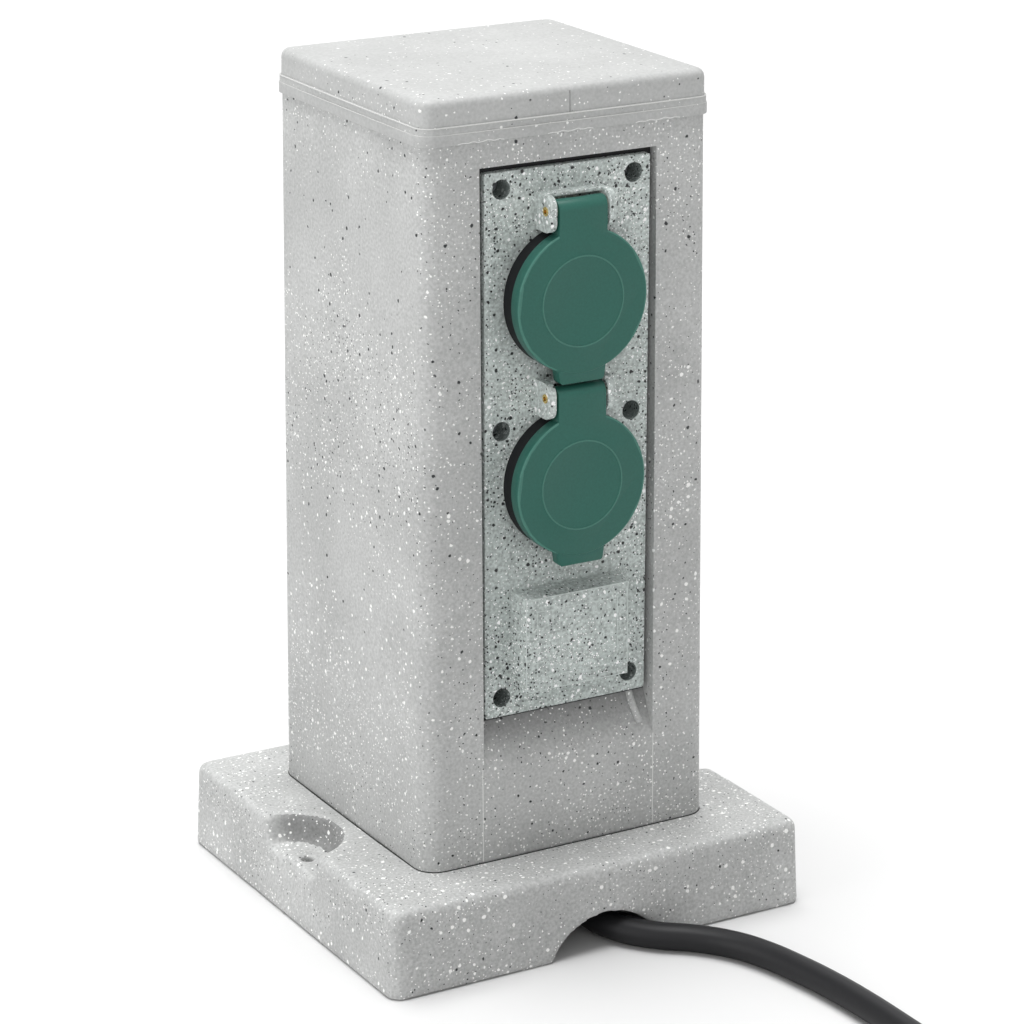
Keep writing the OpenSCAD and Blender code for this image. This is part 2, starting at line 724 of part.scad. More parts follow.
// The plate that carries both sockets, their lid hinges and the raised block
module socket_plate() {
    color(plate_grey) difference() {
        union() {
            translate([0, plate_back, plate_bottom + plate_h / 2]) rotate([90, 0, 0])
                linear_extrude(plate_t) rounded_rect(plate_w, plate_h, plate_corner_r);
            for (x = [-1, 1], z = screw_zs)
                back_cylinder(x * screw_x, plate_back - past, z, well_out_r,
                    well_seat - plate_back + past);
            raised_block(0);
            for (z = [upper_z, lower_z]) hinge_block(z + pin_up);
            for (x = [-1, 1], z = box_screw_zs)
                back_cylinder(x * box_screw_x, plate_back - past, z, box_post_r,
                    box_depth - box_end_t + past);
        }
        for (z = [upper_z, lower_z])
            back_cylinder(0, plate_face - past, z, cup_out_r + fit_gap, plate_t + 2 * past);
        raised_block(plate_t);
        translate([-field_w / 2, plate_face - block_out - past,
                plate_bottom + block_up + (block_h - field_h) / 2])
            cube([field_w, field_depth + past, field_h]);
        for (x = [-1, 1], z = screw_zs) {
            back_cylinder(x * screw_x, plate_face - past, z, well_r, well_depth + past);
            back_cylinder(x * screw_x, plate_face - past, z, plate_screw_r + 0.2,
                well_depth + 4 * past);
        }
        for (x = [-1, 1], z = box_screw_zs)
            back_cylinder(x * box_screw_x, plate_back + box_depth / 2, z, box_screw_r + hole_gap, box_depth);
    }
}

// The raised block, or with t its hollow behind a front wall of t
module raised_block(t) {
    out = block_out - t;
    low = plate_bottom + block_up + t;
    w = block_w - 2 * t;
    h = block_h - 2 * t;
    deep = t > 0 ? plate_t + past : 0;
    intersection() {
        translate([0, 0, low + h / 2]) rotate([90, 0, 0]) translate([0, 0, -plate_face - deep])
            linear_extrude(out + deep) square([w, h], center = true);
        translate([0, 0, low]) linear_extrude(h)
            polygon([
                [-w / 2, plate_face + deep], [-w / 2, plate_face],
                [-w / 2 + block_lean, plate_face - out], [w / 2 - block_lean, plate_face - out],
                [w / 2, plate_face], [w / 2, plate_face + deep]]);
        rotate([90, 0, 90]) translate([0, 0, -w / 2]) linear_extrude(w)
            polygon([
                [plate_face + deep, low], [plate_face, low],
                [plate_face - out, low + block_lean], [plate_face - out, low + h - block_lean],
                [plate_face, low + h], [plate_face + deep, low + h]]);
    }
}

// Two ears and a bridge that carry a hinge pin at height z
module hinge_block(z) {
    top = bridge_z - upper_pin_z + bridge_t;
    for (side = [-1, 1])
        translate([side > 0 ? ear_in : -ear_outer, 0, z]) difference() {
            rotate([90, 0, 90]) linear_extrude(ear_t) {
                square_from(plate_face - ear_out + ear_round, -ear_down, plate_face + past, top);
                square_from(plate_face - ear_out, -ear_down + ear_round, plate_face, top - ear_round);
                translate([plate_face - ear_out + ear_round, -ear_down + ear_round]) circle(ear_round);
                translate([plate_face - ear_out + ear_round, top - ear_round]) circle(ear_round);
            }
            translate([-past, pin_y, 0]) rotate([0, 90, 0])
                cylinder(r = pin_r + 0.02, h = ear_t + 2 * past);
        }
    translate([-ear_outer + ear_t / 2, plate_face - bridge_out, z + bridge_z - upper_pin_z])
        cube([2 * ear_outer - ear_t, bridge_out + past, bridge_t]);
}

// A rectangle between two corners
module square_from(x1, y1, x2, y2) {
    translate([x1, y1]) square([x2 - x1, y2 - y1]);
}

// Gasket between the plate and the column, wide enough to fill the gap round the plate
module plate_gasket() {
    half = box_half_w + window_gap;
    w = 2 * (recess_half_w - fit_gap);
    h = recess_top - fit_gap - plate_bottom;
    color(rubber_black) difference() {
        translate([0, tray_face, plate_bottom + h / 2]) rotate([90, 0, 0])
            linear_extrude(gasket_t) rounded_rect(w, h, plate_corner_r);
        translate([-half, plate_back - past, box_bottom - window_gap])
            cube([2 * half, gasket_t + 2 * past, box_top - box_bottom + 2 * window_gap]);
        for (x = [-1, 1], z = screw_zs)
            back_cylinder(x * screw_x, plate_back - past, z, well_out_r + fit_gap, gasket_t + 2 * past);
    }
}

// Screws deep in the plate's wells
module plate_screws() {
    color(steel) for (x = [-1, 1], z = screw_zs)
        translate([x * screw_x, well_floor, z]) rotate([-90, 0, 0]) {
            cylinder(r = plate_screw_r, h = plate_screw_l - 1);
            difference() {
                translate([0, 0, -head_t]) cylinder(r = well_r - 0.3, h = head_t);
                for (a = [0, 90]) rotate([0, 0, a])
                    translate([-2, -0.35, -head_t - slice]) cube([4, 0.7, 1.2]);
            }
        }
}

// A socket: collar, cup and floor, with holes for the pins and the earth prongs
module socket_insert(z) {
    color(rubber_black) difference() {
        union() {
            back_cylinder(0, collar_face, z, collar_r, collar_h);
            back_cylinder(0, plate_face - slice, z, cup_out_r, cup_back - plate_face + slice);
        }
        back_cylinder(0, collar_face - past, z, cup_r, cup_depth + past);
        for (x = [-1, 1])
            back_cylinder(x * contact_x, cup_bottom - past, z, pin_hole_r, cup_floor + 2 * past);
        for (s = [-1, 1])
            translate([-prong_w / 2 - fit_gap, cup_bottom - past, z + s * prong_z - brass_t / 2 - fit_gap])
                cube([prong_w + 2 * fit_gap, cup_floor + 2 * past, brass_t + 2 * fit_gap]);
    }
    color(rubber_black) for (s = [-1, 1])
        translate([s > 0 ? cup_r - 1.6 : -cup_r - 0.4, collar_face + 3, z - 2.5])
            cube([2, cup_depth - 3, 5]);
}

module upper_socket_insert() { socket_insert(upper_z); }
module lower_socket_insert() { socket_insert(lower_z); }

// The block behind a socket that holds its contacts
module contact_carrier(z) {
    color(inner_white) difference() {
        back_cylinder(0, cup_back, z, cup_out_r - 0.4, carrier_t);
        for (x = [-1, 1])
            back_cylinder(x * contact_x, cup_back - past, z, sleeve_r + hole_gap, carrier_t + 2 * past);
        translate([-prong_w / 2 - fit_gap, cup_back - past, z - cup_out_r])
            cube([prong_w + 2 * fit_gap, earth_depth + past, 2 * cup_out_r]);
    }
}

module upper_contact_carrier() { contact_carrier(upper_z); }
module lower_contact_carrier() { contact_carrier(lower_z); }

// Two sleeves joined by a strip, at one side of both sockets
module contact_rail(x) {
    color(brass) {
        for (z = [upper_z, lower_z]) difference() {
            back_cylinder(x, carrier_back - sleeve_l, z, sleeve_r, sleeve_l);
            back_cylinder(x, carrier_back - sleeve_l - past, z, sleeve_bore_r, sleeve_l + past);
        }
        translate([x - rail_w / 2, carrier_back, rail_low])
            cube([rail_w, brass_t, upper_z + sleeve_r - rail_low]);
    }
}

module live_rail() { contact_rail(contact_x); }
module neutral_rail() { contact_rail(-contact_x); }

// The earth strip behind both cups, with a sprung prong at the top and foot of each
module earth_rail() {
    high = upper_z + prong_z + brass_t / 2;
    color(brass) {
        translate([-prong_w / 2, cup_back, rail_low]) cube([prong_w, brass_t, high - rail_low]);
        for (z = [upper_z, lower_z], s = [-1, 1])
            translate([-prong_w / 2, collar_face + 4, z + s * prong_z - brass_t / 2])
                cube([prong_w, cup_back - collar_face - 4 + brass_t, brass_t]);
    }
}

// A lid: disc, hinge tab with its barrel, finger tab and a thin ring on the face
module lid(z) {
    pin_z = z + pin_up;
    rib = cup_r - 1;
    finger_round = 0.8;
    color(lid_green) difference() {
        union() {
            translate([0, lid_back, z]) rotate([90, 0, 0]) {
                cylinder(r = lid_r, h = lid_t - lid_edge_r);
                cylinder(r = lid_r - lid_edge_r, h = lid_t);
                translate([0, 0, lid_t - lid_edge_r]) rotate_extrude()
                    translate([lid_r - lid_edge_r, 0]) intersection() {
                        circle(lid_edge_r);
                        translate([0, 0]) square(lid_edge_r);
                    }
                rotate_extrude() translate([face_ring_r, lid_t - slice]) square([0.5, face_ring_h]);
            }
            translate([-tab_half, lid_face, z]) cube([tab_w, lid_t, pin_up]);
            translate([0, lid_back, z]) rotate([90, 0, 0]) linear_extrude(lid_t - finger_round / 2)
                polygon([
                    [-tab_half, 0], [-tab_half, -lid_r * 0.9],
                    [finger_lean - tab_half, finger_round - finger_reach],
                    [finger_lean + finger_round - tab_half, -finger_reach],
                    [tab_half - finger_lean - finger_round, -finger_reach],
                    [tab_half - finger_lean, finger_round - finger_reach],
                    [tab_half, -lid_r * 0.9], [tab_half, 0]]);
            translate([-tab_half, pin_y, pin_z]) rotate([0, 90, 0]) cylinder(r = barrel_r, h = tab_w);
        }
        translate([0, lid_back + past, z]) rotate([90, 0, 0])
            cylinder(r = lid_r - 2, h = lid_t - lid_front_t + past);
        translate([-tab_half - past, pin_y, pin_z]) rotate([0, 90, 0])
            cylinder(r = pin_r + pin_run, h = tab_w + 2 * past);
        translate([-spring_half - 1, pin_y, pin_z]) rotate([0, 90, 0])
            cylinder(r = spring_r + spring_wire / 2 + fit_gap, h = 2 * spring_half + 2);
        translate([-spring_half - 1, pin_y, pin_z - barrel_r - past])
            cube([2 * spring_half + 2, barrel_r + past, 2 * (barrel_r + past)]);
    }
    color(lid_green) translate([0, lid_back - 1.5, z]) rotate([90, 0, 0])
        difference() {
            cylinder(r = rib + 1, h = lid_t - lid_front_t - 1.5 + slice);
            translate([0, 0, -past]) cylinder(r = rib - 0.4, h = lid_t);
        }
}

module upper_lid() { lid(upper_z); }
module lower_lid() { lid(lower_z); }

// The soft ring in a lid that closes on the collar
module lid_seal(z) {
    color(rubber_black) translate([0, lid_back, z]) rotate([90, 0, 0]) difference() {
        cylinder(r = lid_r - 2 - hole_gap, h = lid_t - lid_front_t);
        translate([0, 0, -past]) cylinder(r = cup_r + hole_gap, h = lid_t);
    }
}

module upper_lid_seal() { lid_seal(upper_z); }
module lower_lid_seal() { lid_seal(lower_z); }

// A brass hinge pin through both ears and the barrel
module hinge_pin(z) {
    end = ear_outer + 0.2;
    color(brass) translate([-end, pin_y, z + pin_up]) rotate([0, 90, 0]) difference() {
        cylinder(r = pin_r, h = 2 * end);
        for (x = [-past, 2 * end - pin_r]) translate([0, 0, x])
            cylinder(r = pin_bore_r, h = pin_r + past);
    }
}

module upper_hinge_pin() { hinge_pin(upper_z); }
module lower_hinge_pin() { hinge_pin(lower_z); }

module upper_lid_spring() {
    color(steel) tube(spring_path, spring_wire / 2, coil_sides);
}

module lower_lid_spring() {
    translate([0, 0, -socket_pitch]) upper_lid_spring();
}

// The closed box behind the plate, waisted at the middle screws
module back_box() {
    w = 2 * box_half_w;
    h = box_top - box_bottom;
    color(inner_white) difference() {
        box_shape(0);
        box_shape(box_wall);
        translate([0, gland_y, box_bottom - past]) cylinder(r = gland_r + gland_wall_gap, h = 4 * past);
        for (x = [-1, 1], z = box_screw_zs)
            back_cylinder(x * box_screw_x, box_back - box_end_t - past, z, box_screw_r + 0.2, 4 * past);
    }
}

// Outside of the back box, or with t its inside
module box_shape(t) {
    end = t > 0 ? box_end_t : 0;
    front = t > 0 ? past : 0;
    difference() {
        translate([-box_half_w + t, plate_back - front, box_bottom + end])
            cube([2 * (box_half_w - t), box_depth + front - end, box_top - box_bottom - 2 * end]);
        for (x = [-1, 1])
            back_cylinder(x * screw_x, plate_back - 2 * past, screw_zs[1], lug_r + fit_gap + t,
                box_depth + 4 * past);
    }
}

// Screws from behind the box into the plate's long posts
module back_box_screws() {
    color(steel) for (x = [-1, 1], z = box_screw_zs)
        translate([x * box_screw_x, box_back, z]) rotate([90, 0, 0]) {
            cylinder(r = box_screw_r, h = box_screw_l);
            translate([0, 0, -head_t]) cylinder(r = box_head_r, h = head_t);
        }
}

// Gland body: thread through the box, six-sided flange and collar below it
module cable_gland() {
    color(rubber_black) translate([0, gland_y, box_bottom]) difference() {
        union() {
            cylinder(r = gland_r, h = box_end_t + nut_h + 1);
            translate([0, 0, -gland_flange_h]) cylinder(r = gland_flat_r, h = gland_flange_h, $fn = 6);
            translate([0, 0, -gland_flange_h - 4]) cylinder(r = gland_r - 1, h = 5);
        }
        translate([0, 0, -gland_flange_h - 5])
            cylinder(r = cord_r + hole_gap, h = gland_flange_h + box_end_t + nut_h + 7);
    }
}

// Domed cap that squeezes the gland onto the lead
module gland_cap() {
    color(rubber_black) translate([0, gland_y, relief_top]) difference() {
        union() {
            translate([0, 0, gland_cap_h - 6]) cylinder(r = gland_flat_r, h = 6, $fn = 6);
            cylinder(r1 = cord_r + 2.5, r2 = gland_r + 1, h = gland_cap_h - 6 + slice);
        }
        translate([0, 0, gland_cap_h - 4]) cylinder(r = gland_r - 1 + hole_gap, h = 5);
        translate([0, 0, -past]) cylinder(r = cord_r + hole_gap, h = gland_cap_h + 2 * past);
    }
}

// Nut that locks the gland inside the box
module gland_nut() {
    color(rubber_black) translate([0, gland_y, box_bottom + box_end_t]) difference() {
        cylinder(r = gland_flat_r, h = nut_h, $fn = 6);
        translate([0, 0, -past]) cylinder(r = gland_r + hole_gap, h = nut_h + 2 * past);
    }
}

// Tapered sleeve that eases the lead's bend under the gland
module bend_relief() {
    color(rubber_black) translate([0, gland_y, cord_exit_z]) difference() {
        cylinder(r1 = cord_r + 1, r2 = cord_r + 2.5, h = relief_l);
        translate([0, 0, -past]) cylinder(r = cord_r + hole_gap, h = relief_l + 2 * past);
    }
}

// The sheathed end of the lead inside the gland
module cable_tail() {
    color(rubber_black) translate([0, gland_y, cord_exit_z])
        cylinder(r = cord_r, h = tail_top - cord_exit_z);
}

// Three-pole terminal block behind the raised block
module terminal_block() {
    color(inner_white) difference() {
        translate([-terminal_w / 2, terminal_y - terminal_d / 2, terminal_z])
            cube([terminal_w, terminal_d, terminal_h]);
        for (x = terminal_xs) {
            translate([x, terminal_y, terminal_z - past])
                cylinder(r = wire_r + 0.1, h = terminal_h + 2 * past);
            for (z = [4, terminal_h - 4])
                back_cylinder(x, terminal_y, terminal_z + z, 1.7, terminal_d);
        }
    }
    color(inner_white) for (x = [-1, 1])
        translate([x > 0 ? terminal_w / 2 - slice : -box_half_w + box_wall, terminal_y - 2, terminal_z])
            cube([box_half_w - box_wall - terminal_w / 2 + slice, 4, 4]);
}

// Clamping screws of the terminal block
module terminal_screws() {
    color(steel) for (x = terminal_xs, z = [4, terminal_h - 4])
        back_cylinder(x, terminal_y + wire_r, terminal_z + z, 1.6, terminal_d / 2 - wire_r - 0.5);
}

// A wire from the lead's end into a terminal, and on from its top to a contact
module wire(shade, x, side_x, end) {
    mid = terminal_z + terminal_h;
    color(shade) tube([
        [side_x, gland_y, tail_top], [side_x, gland_y, tail_top + 1],
        [x, terminal_y, terminal_z - 2 * wire_r], [x, terminal_y, terminal_z + 3],
        [x, terminal_y, mid], [x, terminal_y, mid + 3],
        [end.x, end.y, end.z - 4], end], wire_r, 8);
}

module live_wire() {
    wire("#6b4226", contact_x, core_x, [contact_x, carrier_back + brass_t / 2, rail_low]);
}

module neutral_wire() {
    wire("#2f5fa8", -contact_x, -core_x, [-contact_x, carrier_back + brass_t / 2, rail_low]);
}

module earth_wire() {
    wire("#8fae3c", 0, 0, [0, cup_back + brass_t / 2, rail_low]);
}

// The lead from its bend relief, out through the arch and along the ground
module cord() {
    color(rubber_black) tube(cord_points, cord_r, cord_sides);
}

// The rest of the lead, put away as a coil
module cord_coil() {
    color(rubber_black) tube(coil_path, cord_r, coil_sides);
}

// A cylinder or cone that starts at x and runs along -X at the plug's height
module plug_cone(x, r1, r2, l) {
    translate([x, plug_y, plug_r]) rotate([0, -90, 0]) cylinder(r1 = r1, r2 = r2, h = l);
}

module plug_relief() {
    color(rubber_black) plug_cone(plug_x, cord_r + 1, cord_r + 4, plug_relief_l);
}

// The plug's body, with a flat slot for each earth contact
module plug_body() {
    start = plug_x - plug_relief_l;
    color(rubber_black) difference() {
        union() {
            plug_cone(start, plug_neck_r, plug_waist_r, plug_neck_l);
            plug_cone(start - plug_neck_l, plug_waist_r, plug_r, plug_grip_l - plug_neck_l);
            plug_cone(start - plug_grip_l, plug_r, plug_r, plug_l - plug_grip_l);
        }
        for (s = [-1, 1]) plug_slot(s);
    }
}

// The slot for an earth contact at the plug's top or foot
module plug_slot(s) {
    front = plug_x - plug_relief_l - plug_l;
    half = plug_earth_w / 2 + fit_gap;
    translate([front - past, plug_y - half, s > 0 ? 2 * plug_r - plug_slot_depth : -past])
        cube([plug_earth_l + 2 + past, 2 * half, plug_slot_depth + past]);
}

module plug_pins() {
    front = plug_x - plug_relief_l - plug_l;
    color(steel) for (s = [-1, 1])
        translate([0, s * contact_x, 0]) {
            plug_cone(front, plug_pin_r, plug_pin_r, plug_pin_l - 1);
            plug_cone(front - plug_pin_l + 1, plug_pin_r, plug_pin_r - 0.8, 1);
        }
}

// Earth contacts let into the plug's top and foot
module plug_earth_contacts() {
    front = plug_x - plug_relief_l - plug_l;
    color(brass) for (s = [-1, 1])
        translate([front + 1, plug_y - plug_earth_w / 2,
                s > 0 ? 2 * plug_r - plug_slot_depth : plug_slot_depth - brass_t])
            cube([plug_earth_l, plug_earth_w, brass_t]);
}

base_plate();
column_shell();
cap();
column_screws();
socket_plate();
plate_gasket();
plate_screws();
upper_socket_insert();
lower_socket_insert();
upper_contact_carrier();
lower_contact_carrier();
live_rail();
neutral_rail();
earth_rail();
upper_lid();
lower_lid();
upper_lid_seal();
lower_lid_seal();
upper_hinge_pin();
lower_hinge_pin();
upper_lid_spring();
lower_lid_spring();
back_box();
back_box_screws();
cable_gland();
gland_cap();
gland_nut();
bend_relief();
cable_tail();
terminal_block();
terminal_screws();
live_wire();
neutral_wire();
earth_wire();
cord();
cord_coil();
plug_relief();
plug_body();
plug_pins();
plug_earth_contacts();
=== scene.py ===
"""Looks of a garden socket pillar with two lidded sockets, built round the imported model."""

import json
import math

import bmesh
import bpy
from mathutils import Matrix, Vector


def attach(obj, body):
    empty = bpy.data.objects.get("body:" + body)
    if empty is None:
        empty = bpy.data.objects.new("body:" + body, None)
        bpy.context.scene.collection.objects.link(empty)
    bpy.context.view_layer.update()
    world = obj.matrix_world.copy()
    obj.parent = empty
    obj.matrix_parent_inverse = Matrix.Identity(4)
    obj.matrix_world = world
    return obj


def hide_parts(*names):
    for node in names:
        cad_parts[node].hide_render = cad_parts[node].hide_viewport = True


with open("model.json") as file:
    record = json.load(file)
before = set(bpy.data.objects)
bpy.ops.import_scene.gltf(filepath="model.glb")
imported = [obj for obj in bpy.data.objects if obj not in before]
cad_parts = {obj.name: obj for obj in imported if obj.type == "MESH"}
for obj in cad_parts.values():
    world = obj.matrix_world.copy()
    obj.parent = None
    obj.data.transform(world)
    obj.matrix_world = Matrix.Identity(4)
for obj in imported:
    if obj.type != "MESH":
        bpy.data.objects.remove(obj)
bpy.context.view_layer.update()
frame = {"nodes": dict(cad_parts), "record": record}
cad = frame["nodes"]

MM = 0.001


def point(x, y, z):
    """A place given in millimetres, as a vector in metres."""
    return Vector((x, y, z)) * MM


# Camera: the photograph's viewpoint, worked out from the pillar's straight edges
CAMERA_PLACE = point(-623.4, -1105.9, 567.3)
CAMERA_TARGET = point(8.9, 0, 141.6)
CAMERA_LENS = 128.4


def set_camera():
    """Looks at the pillar as the photograph does."""
    camera = bpy.data.objects.new("camera", bpy.data.cameras.new("camera"))
    camera.data.lens = CAMERA_LENS
    camera.location = CAMERA_PLACE
    aim = CAMERA_TARGET - CAMERA_PLACE
    camera.rotation_euler = aim.to_track_quat("-Z", "Y").to_euler()
    bpy.context.scene.collection.objects.link(camera)
    bpy.context.scene.camera = camera


set_camera()

# Lead: the free stretch repeats the model's route, and the coil its formula
CORD_D = 10
LEAD_POINTS = [
    (0, -31, 66), (0, -31, 56), (0, -31, 46), (-0.5, -35, 31), (0, -46, 17), (3, -61, 8),
    (8, -76, 5.6), (17, -88.5, 5.15), (29, -98.5, 5), (38, -110, 5), (43.5, -123, 5),
    (47, -138, 5), (49.5, -154, 5), (51, -172, 5), (51.5, -193, 5), (51.5, -215, 5),
    (51.5, -238, 5), (51.5, -260, 5)]
COIL_TURNS = 3.25
COIL_R = 67
COIL_STEP = 10.8
COIL_POINTS_A_TURN = 24
PLUG_R = 18.5
COIL_MIDDLE = (LEAD_POINTS[-1][0] - COIL_R, LEAD_POINTS[-1][1] - CORD_D)
COIL_IN_R = COIL_R - COIL_STEP * COIL_TURNS / 2


def ease(t):
    """A smooth step from 0 to 1 as t goes from 0 to 1."""
    t = min(1, max(0, t))
    return t * t * (3 - 2 * t)


def coil_point(turn):
    """Middle of the lead after that many turns of the coil, in millimetres."""
    r = COIL_IN_R + COIL_STEP * abs(turn - COIL_TURNS / 2)
    climb = ease((turn - COIL_TURNS / 2 + 0.25) / 0.5)
    rise = ease((turn - COIL_TURNS + 0.25) / 0.25)
    angle = math.tau * turn
    return (COIL_MIDDLE[0] + r * math.cos(angle), COIL_MIDDLE[1] - r * math.sin(angle),
            CORD_D / 2 + COIL_STEP * climb + (PLUG_R - CORD_D / 2 - COIL_STEP) * rise)


def lead_route():
    """The lead's points from the bend relief to the plug, in millimetres."""
    count = round(COIL_TURNS * COIL_POINTS_A_TURN)
    turns = [coil_point(i / COIL_POINTS_A_TURN) for i in range(count + 1)]
    end = (COIL_MIDDLE[0] - CORD_D, COIL_MIDDLE[1] - COIL_R, PLUG_R)
    return LEAD_POINTS + turns + [end]


def curve_tube(name, points, diameter, sides=5, steps=4):
    """A round tube on one smooth spline through the points, given in millimetres."""
    curve = bpy.data.curves.new(name, "CURVE")
    curve.dimensions = "3D"
    curve.resolution_u = steps
    curve.render_resolution_u = steps
    curve.bevel_depth = diameter / 2 * MM
    curve.bevel_resolution = sides
    curve.use_fill_caps = True
    spline = curve.splines.new("BEZIER")
    spline.bezier_points.add(len(points) - 1)
    for bezier, place in zip(spline.bezier_points, points):
        bezier.co = point(*place)
        bezier.handle_left_type = bezier.handle_right_type = "AUTO"
    tube = bpy.data.objects.new(name, curve)
    bpy.context.scene.collection.objects.link(tube)
    return tube


lead = curve_tube("mains_lead", lead_route(), CORD_D)


# Colours, as sRGB hex
def linear(hex_colour):
    """An sRGB hex colour as the linear colour that shaders take."""
    channels = [int(hex_colour[i:i + 2], 16) / 255 for i in (1, 3, 5)]
    return [c / 12.92 if c <= 0.04045 else ((c + 0.055) / 1.055) ** 2.4 for c in channels] + [1]


def add_node(tree, kind, settings=None, inputs=None):
    """Adds a node with its own settings, and its inputs as values or as links from sockets."""
    node = tree.nodes.new(kind)
    for name, value in (settings or {}).items():
        setattr(node, name, value)
    for name, value in (inputs or {}).items():
        if isinstance(value, bpy.types.NodeSocket):
            tree.links.new(value, node.inputs[name])
        else:
            node.inputs[name].default_value = value
    return node


def new_material(name, **shader_values):
    """A material with one shader, its values, and the object's own coordinates."""
    material = bpy.data.materials.new(name)
    material.use_nodes = True
    tree = material.node_tree
    tree.nodes.clear()
    shader = add_node(tree, "ShaderNodeBsdfPrincipled", inputs=shader_values)
    add_node(tree, "ShaderNodeOutputMaterial", inputs={"Surface": shader.outputs["BSDF"]})
    place = add_node(tree, "ShaderNodeTexCoord").outputs["Object"]
    return material, tree, shader, place


# Moulded plastic with granite flecks, its patterns' sizes in millimetres:
# clouds of tone, the skin's fine grain, and its slow waves
CLOUD = 35
FINE_GRAIN = 1.1
SWELL = 22
# Patches where flecks lie thin or thick, and how many lie there against the usual
CROWD = 50
CROWD_RANGE = (0.5, 1.5)
# A fleck's outline wanders in steps of this size, by up to this much
UNEVEN_EDGE = 1.6
UNEVEN_REACH = 1.2
# A fleck is solid out to this share of its radius, and fades beyond
FLECK_CORE = 0.7


def fleck_mask(tree, place, cell, smallest, largest, share, crowd, seed):
    """1 inside round flecks of those radii, in millimetres, and 0 elsewhere.

    share is the share of cells that hold a fleck, where crowd is 1. seed gives a layer its own
    part of the pattern."""
    shifted = add_node(tree, "ShaderNodeVectorMath", {"operation": "ADD"},
                       {0: place, 1: (seed, seed * 0.7, seed * 0.3)})
    cells = add_node(tree, "ShaderNodeTexVoronoi", {"feature": "F1"},
                     {"Vector": shifted.outputs["Vector"], "Scale": 1000 / cell})
    chance = add_node(tree, "ShaderNodeSeparateColor", inputs={"Color": cells.outputs["Color"]})
    radius = add_node(tree, "ShaderNodeMapRange", inputs={
        "Value": chance.outputs["Green"], "To Min": smallest / cell, "To Max": largest / cell})
    core = add_node(tree, "ShaderNodeMath", {"operation": "MULTIPLY"},
                    {0: radius.outputs["Result"], 1: FLECK_CORE})
    inside = add_node(tree, "ShaderNodeMapRange", inputs={
        "Value": cells.outputs["Distance"], "From Min": radius.outputs["Result"],
        "From Max": core.outputs["Value"]})
    chosen = add_node(tree, "ShaderNodeMath", {"operation": "MULTIPLY"}, {0: crowd, 1: share})
    present = add_node(tree, "ShaderNodeMath", {"operation": "LESS_THAN"},
                       {0: chance.outputs["Red"], 1: chosen.outputs["Value"]})
    mask = add_node(tree, "ShaderNodeMath", {"operation": "MULTIPLY"},
                    {0: inside.outputs["Result"], 1: present.outputs["Value"]})
    return mask.outputs["Value"]


